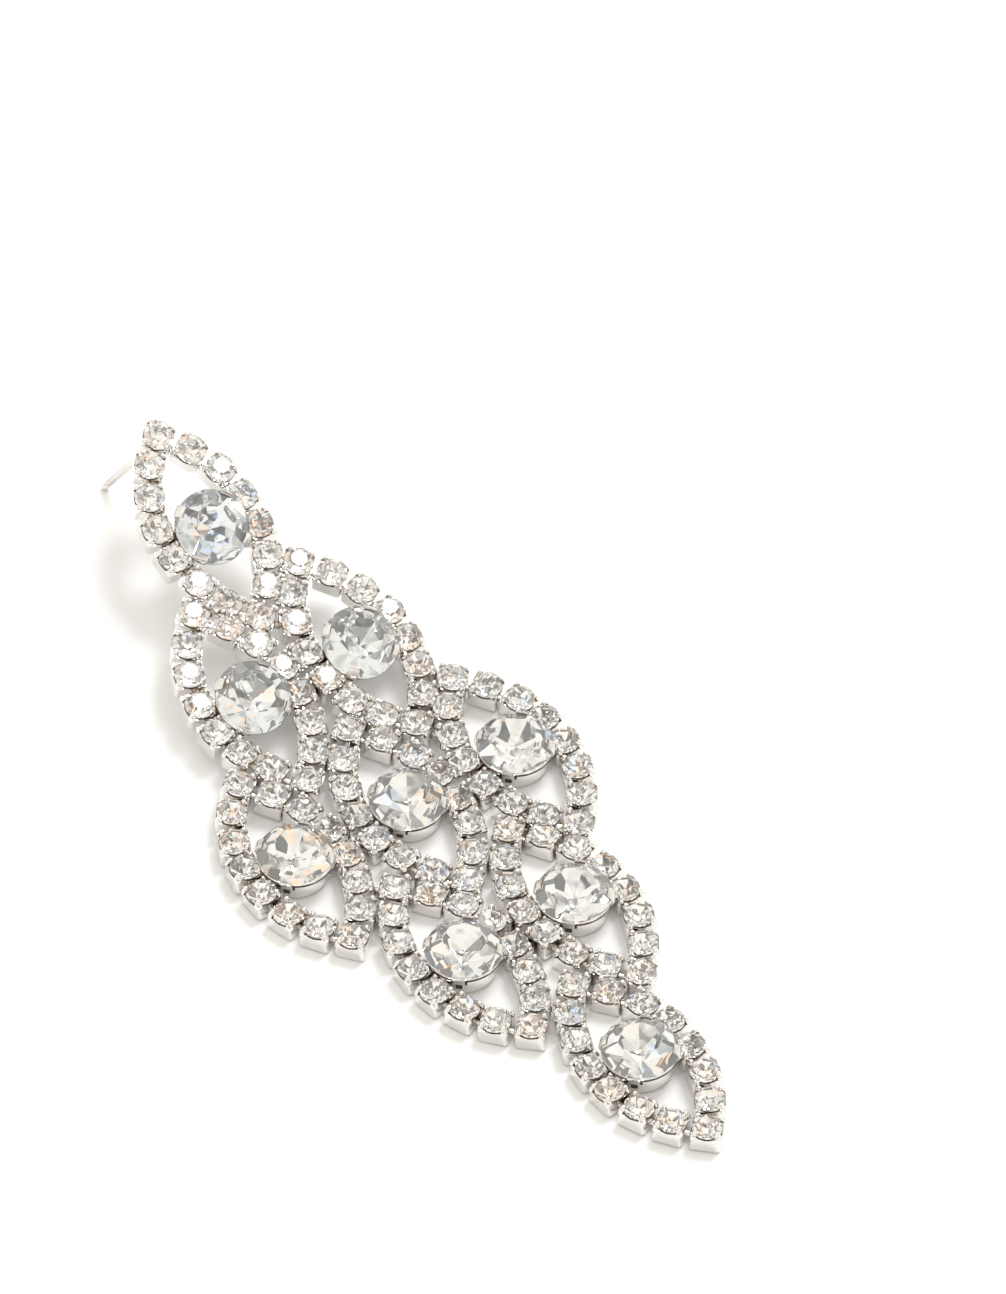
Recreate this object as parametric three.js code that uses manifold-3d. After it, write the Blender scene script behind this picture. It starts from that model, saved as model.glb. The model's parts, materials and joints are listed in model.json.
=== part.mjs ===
// Drop earring: nine leaf-shaped loops of small square cups, each loop round one large
// stone, soldered into a single lattice with an ear post behind its top cup.
// It lies on its back with the upper end propped on the post, so the lattice is flat
// at the lower end and bends gently upwards towards the ear end.
//
// Millimetres. +X runs across the earring, +Y towards the ear end, +Z up.
// The origin is the middle of the footprint, on the surface that the earring lies on.

import * as THREE from 'three';
import { ConvexGeometry } from 'three/addons/geometries/ConvexGeometry.js';
import { mergeVertices } from 'three/addons/utils/BufferGeometryUtils.js';
import Module from 'manifold-3d';

const wasm = await Module();
wasm.setup();

// Gap between a piece and the one that carries it.
const SEAT_GAP = 0.3;

// Leaf loop: each side is an arc of equal steps from tip to tip.
const CUP_PITCH = 3.8;
const STEPS_PER_SIDE = 7;
const LEAF_HALF_ANGLE = THREE.MathUtils.degToRad(48);
const TIP_CUP_TURN = THREE.MathUtils.degToRad(45);
const ARC_STEP = (2 * LEAF_HALF_ANGLE) / STEPS_PER_SIDE;
const ARC_RADIUS = CUP_PITCH / (2 * Math.sin(ARC_STEP / 2));

// Where each leaf sits on the flat lattice, and how far it is turned in its plane.
const LEAVES = [
  { name: 'leaf_1', across: 0.7, along: 40.7, turnDeg: -4 },
  { name: 'leaf_2_left', across: -6.7, along: 20.6, turnDeg: -2 },
  { name: 'leaf_2_right', across: 6.9, along: 20.6, turnDeg: 0 },
  { name: 'leaf_3_left', across: -14.0, along: 0.2, turnDeg: -2 },
  { name: 'leaf_3_centre', across: 0, along: 0, turnDeg: -1 },
  { name: 'leaf_3_right', across: 13.6, along: 0, turnDeg: 1 },
  { name: 'leaf_4_left', across: -6.3, along: -20.3, turnDeg: 4 },
  { name: 'leaf_4_right', across: 7.6, along: -20.4, turnDeg: 2 },
  { name: 'leaf_5', across: 1.7, along: -41.6, turnDeg: 2 },
];

// Bend of the lattice where the post props it up.
const BEND_START = -3;
const BEND_RADIUS = 152;

// Small square cup, closed by its gem: the top slopes in from the rim to the gem's table.
const CUP_SIDE = 3.1;
const CUP_HEIGHT = 2.0;
const GEM_FACETS = 8;
const GEM_TABLE_RADIUS = 1.1;
const GEM_TABLE_HEIGHT = 2.75;

// Bars: the links of the cup chain, the solder between neighbouring leaves, and the thin
// tabs of solder that hold a round cup between the links beside it.
const LINK_WIDTH = 0.9;
const LINK_BOTTOM = 0.5;
const LINK_TOP = 1.2;
const TAB_WIDTH = 0.3;
const SOLDER_REACH = 4.3;

// Large round cup with four claws.
const SETTING_SIDES = 16;
const SETTING_BASE_HEIGHT = 0.1;
const SETTING_BASE_RADIUS = 3.45;
const SETTING_RIM_RADIUS = 3.95;
const SETTING_HEIGHT = 2.75;
const SETTING_WALL = 0.35;
const SETTING_FLOOR = 0.6;
const CLAW_COUNT = 4;
const CLAW_WIDTH = 1.2;
const CLAW_THICKNESS = 0.3;
const CLAW_ROOT_HEIGHT = 1.6;
const CLAW_BEND_HEIGHT = 3.5;
const CLAW_TIP_HEIGHT = 4.2;
const CLAW_TIP_REACH = 0.5;

// Large stone.
const STONE_FACETS = 8;
const STONE_RADIUS = 3.95;
const STONE_GIRDLE_BOTTOM = 3.05;
const STONE_GIRDLE_TOP = 3.3;
const STONE_CULET_HEIGHT = 0.95;
const STONE_TABLE_RADIUS = 2.1;
const STONE_TABLE_HEIGHT = 4.9;

// Ear post, soldered by its pad to the back of the top cup and leaning off square.
const POST_RADIUS = 0.4;
const POST_SIDES = 10;
const POST_LEAN_ACROSS = THREE.MathUtils.degToRad(21);
const POST_LEAN_ALONG = THREE.MathUtils.degToRad(26);
const POST_TIP_RADIUS = 0.22;
const POST_TIP_TAPER = 0.25;
const POST_GROOVE_START = 0.9;
const POST_GROOVE_LENGTH = 0.5;
const POST_GROOVE_RADIUS = 0.3;
const PAD_RADIUS = 1.3;
const PAD_THICKNESS = 0.4;

const PLATED_METAL = new THREE.MeshStandardMaterial({ color: 0xd9d8d4, roughness: 0.22, metalness: 1 });
const CRYSTAL = new THREE.MeshStandardMaterial({ color: 0xe9edf0, roughness: 0.05, metalness: 0.1 });

// ---------- solids ----------

function toSolid(geometry) {
  const bare = geometry.clone();
  bare.deleteAttribute('normal');
  bare.deleteAttribute('uv');
  const merged = mergeVertices(bare);
  const vertProperties = new Float32Array(merged.attributes.position.array);
  const triVerts = new Uint32Array(merged.index.array);
  return new wasm.Manifold(new wasm.Mesh({ numProp: 3, vertProperties, triVerts }));
}

function toGeometry(solid) {
  const { vertProperties, triVerts } = solid.getMesh();
  const geometry = new THREE.BufferGeometry();
  geometry.setAttribute('position', new THREE.BufferAttribute(vertProperties, 3));
  geometry.setIndex(new THREE.BufferAttribute(triVerts, 1));
  geometry.computeVertexNormals();
  return geometry;
}

function joined(geometries) {
  let solids = geometries.map(toSolid);
  while (solids.length > 1) {
    const pairs = [];
    for (let i = 0; i < solids.length; i += 2) {
      pairs.push(i + 1 < solids.length ? solids[i].add(solids[i + 1]) : solids[i]);
    }
    solids = pairs;
  }
  return toGeometry(solids[0]);
}

// ---------- places on the bent lattice ----------

// Frame of a spot on the back of the lattice: x across, y along, z out of its front.
function latticeFrame(across, along, turn = 0) {
  const tilt = Math.max(0, along - BEND_START) / BEND_RADIUS;
  const y = Math.min(along, BEND_START) + BEND_RADIUS * Math.sin(tilt);
  const z = BEND_RADIUS * (1 - Math.cos(tilt));
  return new THREE.Matrix4()
    .makeTranslation(across, y, z)
    .multiply(new THREE.Matrix4().makeRotationX(tilt))
    .multiply(new THREE.Matrix4().makeRotationZ(turn));
}

// Distance from a leaf's long axis to the cups' line at its widest place.
function loopHalfWidth() {
  return ARC_RADIUS * (Math.cos(ARC_STEP / 2) - Math.cos(LEAF_HALF_ANGLE));
}

// The cups of one leaf in order round the loop, clockwise from the top tip.
function cupsOfLeaf(leaf) {
  const leafTurn = THREE.MathUtils.degToRad(leaf.turnDeg);
  const cups = [];
  for (const side of [1, -1]) {
    for (let i = 0; i < STEPS_PER_SIDE; i += 1) {
      const angle = side * (LEAF_HALF_ANGLE - ARC_STEP * i);
      const x = side * ARC_RADIUS * (Math.cos(angle) - Math.cos(LEAF_HALF_ANGLE));
      const y = ARC_RADIUS * Math.sin(angle);
      const spot = new THREE.Vector2(x, y).rotateAround(new THREE.Vector2(), leafTurn);
      const turn = leafTurn + (i === 0 ? TIP_CUP_TURN : side * angle);
      cups.push({ across: leaf.across + spot.x, along: leaf.along + spot.y, turn });
    }
  }
  return cups;
}

function distanceBetween(a, b) {
  return Math.hypot(a.across - b.across, a.along - b.along);
}

// ---------- shapes ----------

// Corners of a regular polygon at one height.
function ring(count, radius, height, start = 0) {
  return Array.from({ length: count }, (_, i) => {
    const angle = start + (2 * Math.PI * i) / count;
    return new THREE.Vector3(radius * Math.cos(angle), radius * Math.sin(angle), height);
  });
}

function smallCup() {
  const cornerRadius = CUP_SIDE / Math.SQRT2;
  return new ConvexGeometry([
    ...ring(4, cornerRadius, 0, Math.PI / 4),
    ...ring(4, cornerRadius, CUP_HEIGHT, Math.PI / 4),
    ...ring(GEM_FACETS, GEM_TABLE_RADIUS, GEM_TABLE_HEIGHT, Math.PI / GEM_FACETS),
  ]);
}

// A bar that joins two spots on the lattice, ending inside both.
function bar(a, b) {
  const length = distanceBetween(a, b) - CUP_SIDE / 2;
  const turn = Math.atan2(b.along - a.along, b.across - a.across);
  const middle = latticeFrame((a.across + b.across) / 2, (a.along + b.along) / 2, turn);
  return new THREE.BoxGeometry(length, LINK_WIDTH, LINK_TOP - LINK_BOTTOM)
    .translate(0, 0, (LINK_BOTTOM + LINK_TOP) / 2)
    .applyMatrix4(middle);
}

// A solid of revolution about +Z from [radius, height] pairs.
function turned(profile, sides) {
  const points = profile.map(([radius, height]) => new THREE.Vector2(radius, height));
  return new THREE.LatheGeometry(points, sides).rotateX(Math.PI / 2);
}

function roundSetting() {
  const innerRadius = SETTING_RIM_RADIUS - SETTING_WALL;
  return turned(
    [
      [0, SETTING_BASE_HEIGHT],
      [SETTING_BASE_RADIUS, SETTING_BASE_HEIGHT],
      [SETTING_RIM_RADIUS, SETTING_HEIGHT],
      [innerRadius, SETTING_HEIGHT],
      [0, SETTING_FLOOR],
    ],
    SETTING_SIDES,
  ).rotateZ(Math.PI / SETTING_SIDES);
}

// Solder from the round setting to the links at the widest places of the loop.
function settingTabs() {
  const reach = loopHalfWidth() - SETTING_BASE_RADIUS;
  return [1, -1].map((side) => new THREE.BoxGeometry(reach, TAB_WIDTH, LINK_TOP - LINK_BOTTOM)
    .translate(side * (SETTING_BASE_RADIUS + reach / 2), 0, (LINK_BOTTOM + LINK_TOP) / 2));
}

// One claw as a flat strip bent over the stone's girdle, in the plane of +X and +Z.
function claw(angle) {
  const inside = STONE_RADIUS + SEAT_GAP;
  const outside = inside + CLAW_THICKNESS;
  const outline = new THREE.Shape([
    new THREE.Vector2(SETTING_RIM_RADIUS - SETTING_WALL, CLAW_ROOT_HEIGHT),
    new THREE.Vector2(outside, STONE_GIRDLE_BOTTOM),
    new THREE.Vector2(outside, CLAW_BEND_HEIGHT + CLAW_THICKNESS),
    new THREE.Vector2(STONE_RADIUS - CLAW_TIP_REACH, CLAW_TIP_HEIGHT),
    new THREE.Vector2(inside, CLAW_BEND_HEIGHT),
  ]);
  return new THREE.ExtrudeGeometry(outline, { depth: CLAW_WIDTH, bevelEnabled: false })
    .translate(0, 0, -CLAW_WIDTH / 2)
    .rotateX(Math.PI / 2)
    .rotateZ(angle);
}

// Cut stone: pointed underneath, a thin girdle, and a crown that slopes to a flat table.
function largeStone() {
  const girdleCorners = 2 * STONE_FACETS;
  return new ConvexGeometry([
    new THREE.Vector3(0, 0, STONE_CULET_HEIGHT),
    ...ring(girdleCorners, STONE_RADIUS, STONE_GIRDLE_BOTTOM, Math.PI / girdleCorners),
    ...ring(girdleCorners, STONE_RADIUS, STONE_GIRDLE_TOP, Math.PI / girdleCorners),
    ...ring(STONE_FACETS, STONE_TABLE_RADIUS, STONE_TABLE_HEIGHT, Math.PI / STONE_FACETS),
  ]);
}

// ---------- the pieces ----------

function solderedLattice(leaves) {
  const pieces = [];
  for (const leaf of leaves) {
    for (const cup of leaf.cups) {
      pieces.push(smallCup().applyMatrix4(latticeFrame(cup.across, cup.along, cup.turn)));
    }
    leaf.cups.forEach((cup, i) => {
      pieces.push(bar(cup, leaf.cups[(i + 1) % leaf.cups.length]));
    });
    pieces.push(roundSetting().applyMatrix4(leaf.frame));
    pieces.push(...settingTabs().map((tab) => tab.applyMatrix4(leaf.frame)));
    for (let i = 0; i < CLAW_COUNT; i += 1) {
      const angle = ((i + 0.5) * 2 * Math.PI) / CLAW_COUNT;
      pieces.push(claw(angle).applyMatrix4(leaf.frame));
    }
  }
  pieces.push(...solderBars(leaves));
  return joined(pieces);
}

// Neighbouring leaves are soldered where their cups come closest.
function solderBars(leaves) {
  const bars = [];
  leaves.forEach((leaf, i) => {
    for (const other of leaves.slice(i + 1)) {
      const pairs = leaf.cups.flatMap((a) => other.cups.map((b) => ({ a, b, gap: distanceBetween(a, b) })));
      const nearest = pairs.reduce((best, pair) => (pair.gap < best.gap ? pair : best));
      if (nearest.gap < SOLDER_REACH) {
        bars.push(bar(nearest.a, nearest.b));
      }
    }
  });
  return bars;
}

// The post runs from the pad on the top cup's back down to the surface.
function earPost(topCup) {
  const seat = latticeFrame(topCup.across, topCup.along, topCup.turn);
  const upwards = new THREE.Vector3(Math.tan(POST_LEAN_ACROSS), -Math.tan(POST_LEAN_ALONG), 1).normalize();
  const tipHeight = POST_TIP_RADIUS * Math.sqrt(1 - upwards.z ** 2);
  const start = new THREE.Vector3(0, 0, -SEAT_GAP - PAD_THICKNESS / 2).applyMatrix4(seat);
  const length = (start.z - tipHeight) / upwards.z;
  const tip = start.clone().addScaledVector(upwards, -length);
  const shaft = turned(
    [
      [0, 0],
      [POST_TIP_RADIUS, 0],
      [POST_RADIUS, POST_TIP_TAPER],
      [POST_RADIUS, POST_GROOVE_START],
      [POST_GROOVE_RADIUS, POST_GROOVE_START + POST_GROOVE_LENGTH / 3],
      [POST_GROOVE_RADIUS, POST_GROOVE_START + (2 * POST_GROOVE_LENGTH) / 3],
      [POST_RADIUS, POST_GROOVE_START + POST_GROOVE_LENGTH],
      [POST_RADIUS, length],
      [0, length],
    ],
    POST_SIDES,
  );
  const lean = new THREE.Quaternion().setFromUnitVectors(new THREE.Vector3(0, 0, 1), upwards);
  shaft.applyQuaternion(lean).translate(tip.x, tip.y, tip.z);
  const pad = new THREE.CylinderGeometry(PAD_RADIUS, PAD_RADIUS, PAD_THICKNESS, POST_SIDES)
    .rotateX(Math.PI / 2)
    .translate(0, 0, -SEAT_GAP - PAD_THICKNESS / 2)
    .applyMatrix4(seat);
  return joined([shaft, pad]);
}

function piece(name, geometry, material) {
  const mesh = new THREE.Mesh(geometry, material);
  mesh.name = name;
  return mesh;
}

// ---------- assembly ----------

const leaves = LEAVES.map((leaf) => ({
  ...leaf,
  cups: cupsOfLeaf(leaf),
  frame: latticeFrame(leaf.across, leaf.along, THREE.MathUtils.degToRad(leaf.turnDeg)),
}));

const earring = new THREE.Group();
earring.add(piece('soldered_lattice', solderedLattice(leaves), PLATED_METAL));
for (const leaf of leaves) {
  const stone = piece(leaf.name.replace('leaf', 'stone'), largeStone(), CRYSTAL);
  stone.applyMatrix4(leaf.frame);
  earring.add(stone);
}
earring.add(piece('ear_post', earPost(leaves[0].cups[0]), PLATED_METAL));

const footprint = new THREE.Box3().setFromObject(earring, true);
const middle = footprint.getCenter(new THREE.Vector3());
earring.position.set(-middle.x, -middle.y, -footprint.min.z);

export default earring;
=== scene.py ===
"""Finished look of the drop earring: cups, links, cut stones, solder and ear post, with studio and camera."""

import json
import logging
import math
import random
from collections.abc import Sequence
from dataclasses import dataclass, field, replace
from enum import Enum, IntEnum

import bmesh
import bpy
from mathutils import Matrix, Vector


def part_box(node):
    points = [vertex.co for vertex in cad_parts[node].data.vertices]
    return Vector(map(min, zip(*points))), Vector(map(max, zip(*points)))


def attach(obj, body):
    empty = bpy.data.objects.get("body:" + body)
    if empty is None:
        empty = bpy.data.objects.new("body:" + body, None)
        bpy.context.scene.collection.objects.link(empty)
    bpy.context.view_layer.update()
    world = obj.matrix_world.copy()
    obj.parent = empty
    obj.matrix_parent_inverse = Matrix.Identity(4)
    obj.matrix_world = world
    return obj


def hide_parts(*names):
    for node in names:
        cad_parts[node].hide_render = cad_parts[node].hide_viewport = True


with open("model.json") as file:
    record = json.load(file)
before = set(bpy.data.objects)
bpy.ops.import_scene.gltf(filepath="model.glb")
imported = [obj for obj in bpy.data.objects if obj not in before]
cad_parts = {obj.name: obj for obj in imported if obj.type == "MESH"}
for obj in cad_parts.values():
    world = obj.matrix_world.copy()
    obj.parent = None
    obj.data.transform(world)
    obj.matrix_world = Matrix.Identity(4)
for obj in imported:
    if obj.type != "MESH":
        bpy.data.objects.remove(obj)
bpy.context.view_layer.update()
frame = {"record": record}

MM = 0.001
BODY = "root"
LATTICE_NODE = "soldered_lattice"
POST_NODE = "ear_post"
METAL_SLOT = "plated_metal"
CRYSTAL_SLOT = "crystal"

# Height of a large stone's point above the back of the lattice, in the solids.
STONE_POINT_HEIGHT = 0.95

# Corners that lie closer than this are one corner.
MERGE_DISTANCE = 0.001

Pair = tuple[float, float]
Triple = tuple[float, float, float]

log = logging.getLogger("drop_earring")


# ---------- layout ----------


@dataclass(frozen=True)
class Spot:
    """A place on the back of the lattice, laid out flat, in millimetres and radians."""

    across: float
    along: float
    turn: float = 0.0

    def distance_to(self, other: "Spot") -> float:
        """Distance between two spots on the flat lattice."""
        return math.hypot(self.across - other.across, self.along - other.along)

    def midway_to(self, other: "Spot") -> "Spot":
        """The spot halfway to another, turned to run from one to the other."""
        turn = math.atan2(other.along - self.along, other.across - self.across)
        return Spot((self.across + other.across) / 2, (self.along + other.along) / 2, turn)


@dataclass(frozen=True)
class Leaf:
    """One leaf-shaped loop of cups round a large stone, and how that stone is turned in its cup."""

    name: str
    stone_node: str
    across: float
    along: float
    turn_deg: float
    facet_turn_deg: float
    stone_lean_deg: float = 0.0

    @property
    def spot(self) -> Spot:
        """The leaf's middle."""
        return Spot(self.across, self.along, math.radians(self.turn_deg))


# Name, node of the large stone, place across and along, turn, turn of the facets, lean of the large cup.
LEAVES = (
    Leaf("leaf_1", "stone_1", 0.7, 40.7, -4, 12, 14),
    Leaf("leaf_2_left", "stone_2_left", -6.7, 20.6, -2, 31, 14),
    Leaf("leaf_2_right", "stone_2_right", 6.9, 20.6, 0, 4, 12),
    Leaf("leaf_3_left", "stone_3_left", -14.0, 0.2, -2, 20),
    Leaf("leaf_3_centre", "stone_3_centre", 0.0, 0.0, -1, 38),
    Leaf("leaf_3_right", "stone_3_right", 13.6, 0.0, 1, 9),
    Leaf("leaf_4_left", "stone_4_left", -6.3, -20.3, 4, 27),
    Leaf("leaf_4_right", "stone_4_right", 7.6, -20.4, 2, 16),
    Leaf("leaf_5", "stone_5", 1.7, -41.6, 2, 35),
)


@dataclass(frozen=True)
class LeafLoop:
    """The line that the cups of a leaf follow: two equal arcs, each stepped evenly from tip to tip."""

    pitch: float = 3.8
    steps_per_side: int = 7
    half_angle: float = math.radians(48)
    tip_turn: float = math.radians(45)

    @property
    def arc_step(self) -> float:
        """Angle between neighbouring cups of one side."""
        return 2 * self.half_angle / self.steps_per_side

    @property
    def arc_radius(self) -> float:
        """Radius of each side's arc."""
        return self.pitch / (2 * math.sin(self.arc_step / 2))

    @property
    def half_width(self) -> float:
        """Distance from the leaf's long axis to its widest links."""
        return self.arc_radius * (math.cos(self.arc_step / 2) - math.cos(self.half_angle))

    def spots(self, leaf: Leaf) -> list[Spot]:
        """The cups of one leaf.

        Args:
            leaf: the leaf to lay out.

        Returns:
            The cups' places in order round the loop, clockwise from the top tip.
        """
        spots = []
        for side in (1, -1):
            for i in range(self.steps_per_side):
                angle = side * (self.half_angle - self.arc_step * i)
                x = side * self.arc_radius * (math.cos(angle) - math.cos(self.half_angle))
                offset = Vector((x, self.arc_radius * math.sin(angle)))
                offset.rotate(Matrix.Rotation(leaf.spot.turn, 2))
                turn = leaf.spot.turn + (self.tip_turn if i == 0 else side * angle)
                spots.append(Spot(leaf.across + offset.x, leaf.along + offset.y, turn))
        return spots


@dataclass(frozen=True)
class Bend:
    """The curve of the lattice: flat at the lower end, then a wide arc up to the ear end."""

    origin: Vector
    start: float = -3.0
    radius: float = 152.0

    @classmethod
    def from_frame(cls, leaf: Leaf) -> "Bend":
        """The bend, set in the row frame by the large stone of a flat leaf.

        Args:
            leaf: a leaf that lies wholly on the flat part.

        Returns:
            The bend, whose origin is where the lattice's middle lies in the row frame.
        """
        low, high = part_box(leaf.stone_node)
        middle = (low + high) / (2 * MM)
        height = low.z / MM - STONE_POINT_HEIGHT
        return cls(Vector((middle.x - leaf.across, middle.y - leaf.along, height)))

    def place(self, spot: Spot) -> Matrix:
        """Where a thing on the lattice goes.

        Args:
            spot: its place on the flat lattice.

        Returns:
            The matrix from the thing's own axes, in millimetres and with its back at 0, to the row frame.
        """
        tilt = max(0.0, spot.along - self.start) / self.radius
        y = min(spot.along, self.start) + self.radius * math.sin(tilt)
        z = self.radius * (1 - math.cos(tilt))
        moved = Matrix.Translation(self.origin + Vector((spot.across, y, z)))
        turned = Matrix.Rotation(tilt, 4, "X") @ Matrix.Rotation(spot.turn, 4, "Z")
        return Matrix.Scale(MM, 4) @ moved @ turned


# ---------- mesh helpers ----------


def stamp(target: bmesh.types.BMesh, template: bpy.types.Mesh, matrix: Matrix) -> None:
    """Adds a placed copy of a template to a mesh.

    Args:
        target: the mesh that grows.
        template: the shape to copy.
        matrix: where the copy goes.
    """
    before = len(target.verts)
    target.from_mesh(template)
    target.verts.ensure_lookup_table()
    bmesh.ops.transform(target, matrix=matrix, verts=target.verts[before:])


def as_template(shape: bmesh.types.BMesh, name: str) -> bpy.types.Mesh:
    """Turns a finished bmesh into a mesh that can be stamped.

    Args:
        shape: the bmesh, which is freed.
        name: a name for the mesh.

    Returns:
        The new mesh.
    """
    bmesh.ops.recalc_face_normals(shape, faces=shape.faces)
    mesh = bpy.data.meshes.new(name)
    shape.to_mesh(mesh)
    shape.free()
    return mesh


def rounded(shape: bmesh.types.BMesh, edges: list[bmesh.types.BMEdge], radius: float, segments: int) -> None:
    """Rounds edges of a shape.

    Args:
        shape: the mesh.
        edges: its edges to round.
        radius: how far the rounding reaches, in millimetres.
        segments: faces across the rounding.
    """
    bmesh.ops.bevel(
        shape,
        geom=edges,
        offset=radius,
        offset_type="OFFSET",
        segments=segments,
        profile=0.5,
        affect="EDGES",
        clamp_overlap=True,
        material=-1,
    )


def block(size: Sequence[float], middle: Sequence[float]) -> bmesh.types.BMesh:
    """Starts a box.

    Args:
        size: its lengths along X, Y and Z.
        middle: where its middle lies.

    Returns:
        The box's mesh.
    """
    shape = bmesh.new()
    bmesh.ops.create_cube(shape, size=1.0, matrix=Matrix.Translation(middle) @ Matrix.Diagonal((*size, 1)))
    return shape


def rod(radius: float, bottom: float, top: float, sides: int) -> bmesh.types.BMesh:
    """Starts a round rod along the Z axis.

    Args:
        radius: its radius.
        bottom: height of its lower end.
        top: height of its upper end.
        sides: faces round it.

    Returns:
        The rod's mesh.
    """
    shape = bmesh.new()
    depth = top - bottom
    bmesh.ops.create_cone(
        shape,
        cap_ends=True,
        segments=sides,
        radius1=radius,
        radius2=radius,
        depth=depth,
        matrix=Matrix.Translation((0, 0, bottom + depth / 2)),
    )
    return shape


def turned(outline: Sequence[Pair], steps: int, start: float = 0.0) -> bmesh.types.BMesh:
    """Starts a shape that is turned round the Z axis.

    Args:
        outline: radius and height of its corners, in order, from the axis on.
        steps: faces round the axis.
        start: the angle at which the outline is drawn, in radians.

    Returns:
        The turned mesh, with its seam and poles closed.
    """
    shape = bmesh.new()
    corners = []
    for radius, height in outline:
        place = (radius * math.cos(start), radius * math.sin(start), height)
        corners += bmesh.ops.create_vert(shape, co=place)["vert"]
    edges = [shape.edges.new(pair) for pair in zip(corners, corners[1:])]
    bmesh.ops.spin(
        shape,
        geom=corners + edges,
        cent=(0, 0, 0),
        axis=(0, 0, 1),
        angle=math.tau,
        steps=steps,
        use_merge=True,
    )
    bmesh.ops.remove_doubles(shape, verts=shape.verts, dist=MERGE_DISTANCE)
    return shape


def lowest(item: bmesh.types.BMEdge | bmesh.types.BMFace) -> float:
    """Height of the lowest corner of an edge or face."""
    return min(corner.co.z for corner in item.verts)


def highest(item: bmesh.types.BMEdge | bmesh.types.BMFace) -> float:
    """Height of the highest corner of an edge or face."""
    return max(corner.co.z for corner in item.verts)


class Shading(Enum):
    """How the faces of a piece catch the light."""

    FACETED = "faceted"
    SMOOTH = "smooth"


@dataclass
class Piece:
    """A finished piece of the earring: its mesh in progress, and what it needs to join the frame."""

    name: str
    slot: str
    replaced: tuple[str, ...]
    finishes: tuple[bpy.types.Material, ...]
    shading: Shading = Shading.SMOOTH
    sharp_angle: float = math.radians(38)
    shape: bmesh.types.BMesh = field(default_factory=bmesh.new)

    def finish(self) -> bpy.types.Object:
        """Makes the object, dresses it and ties it to the frame.

        Returns:
            The new object.
        """
        mesh = bpy.data.meshes.new(self.name)
        self.shape.to_mesh(mesh)
        self.shape.free()
        for finish in self.finishes:
            mesh.materials.append(finish)
        if self.shading is Shading.SMOOTH:
            mesh.shade_smooth()
            mesh.set_sharp_from_angle(angle=self.sharp_angle)
        else:
            mesh.shade_flat()
        piece = bpy.data.objects.new(self.name, mesh)
        bpy.context.scene.collection.objects.link(piece)
        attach(piece, BODY)
        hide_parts(*self.replaced)
        log.info("built %s with %d faces", self.name, len(mesh.polygons))
        return piece


# ---------- finishes ----------


@dataclass(frozen=True)
class NodeBench:
    """Puts nodes into one tree and links them."""

    tree: bpy.types.NodeTree

    def fill(self, node: bpy.types.Node, values: dict[str | int, object]) -> None:
        """Gives a node its inputs.

        Args:
            node: the node.
            values: what each input gets, by its name or number: a plain value or another node's output.
        """
        for key, value in values.items():
            if isinstance(value, bpy.types.NodeSocket):
                self.tree.links.new(value, node.inputs[key])
            else:
                node.inputs[key].default_value = value

    def add(self, kind: str, values: dict[str | int, object], **settings: object) -> bpy.types.Node:
        """Adds a node.

        Args:
            kind: the node's type name.
            values: its inputs, as fill takes them.
            settings: other properties of the node.

        Returns:
            The new node.
        """
        node = self.tree.nodes.new(kind)
        for name, value in settings.items():
            setattr(node, name, value)
        self.fill(node, values)
        return node

    def noise(self, where: bpy.types.NodeSocket, scale: object, detail: float) -> bpy.types.NodeSocket:
        """Adds soft noise.

        Args:
            where: the coordinates.
            scale: how fine it is.
            detail: how many finer layers it has.

        Returns:
            The noise, mostly between 0.3 and 0.7.
        """
        values = {"Vector": where, "Scale": scale, "Detail": detail}
        return self.add("ShaderNodeTexNoise", values).outputs["Fac"]

    def math(self, operation: str, *values: object) -> bpy.types.NodeSocket:
        """Adds a Math node and gives its output."""
        return self.add("ShaderNodeMath", dict(enumerate(values)), operation=operation).outputs[0]

    def spread(
        self, value: bpy.types.NodeSocket, source: Sequence[object], target: Sequence[object]
    ) -> bpy.types.NodeSocket:
        """Maps one range of values on another.

        Args:
            value: the value to map.
            source: lowest and highest value that come in.
            target: what they become.

        Returns:
            The mapped value, kept inside the target range.
        """
        ends = {"From Min": source[0], "From Max": source[1], "To Min": target[0], "To Max": target[1]}
        return self.add("ShaderNodeMapRange", {"Value": value, **ends}, clamp=True).outputs["Result"]

    def mix(self, factor: object, first: object, second: object) -> bpy.types.NodeSocket:
        """Mixes two colours and gives the result."""
        return self.add("ShaderNodeMix", {0: factor, 6: first, 7: second}, data_type="RGBA").outputs[2]


def rgba(colour: Triple) -> tuple[float, float, float, float]:
    """A colour as node sockets take it."""
    return (*colour, 1.0)


class SocketKind(Enum):
    """Kinds of socket that the node groups use."""

    VECTOR = "NodeSocketVector"
    VALUE = "NodeSocketFloat"
    COLOUR = "NodeSocketColor"


def new_group(name: str, inputs: dict[str, SocketKind], outputs: dict[str, SocketKind]) -> bpy.types.NodeTree:
    """Starts a shader node group.

    Args:
        name: its name.
        inputs: its inputs by name.
        outputs: its outputs by name.

    Returns:
        The group, with its two end nodes in place.
    """
    group = bpy.data.node_groups.new(name, "ShaderNodeTree")
    for socket, kind in inputs.items():
        group.interface.new_socket(socket, in_out="INPUT", socket_type=kind.value)
    for socket, kind in outputs.items():
        group.interface.new_socket(socket, in_out="OUTPUT", socket_type=kind.value)
    group.nodes.new("NodeGroupInput")
    group.nodes.new("NodeGroupOutput")
    return group


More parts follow.
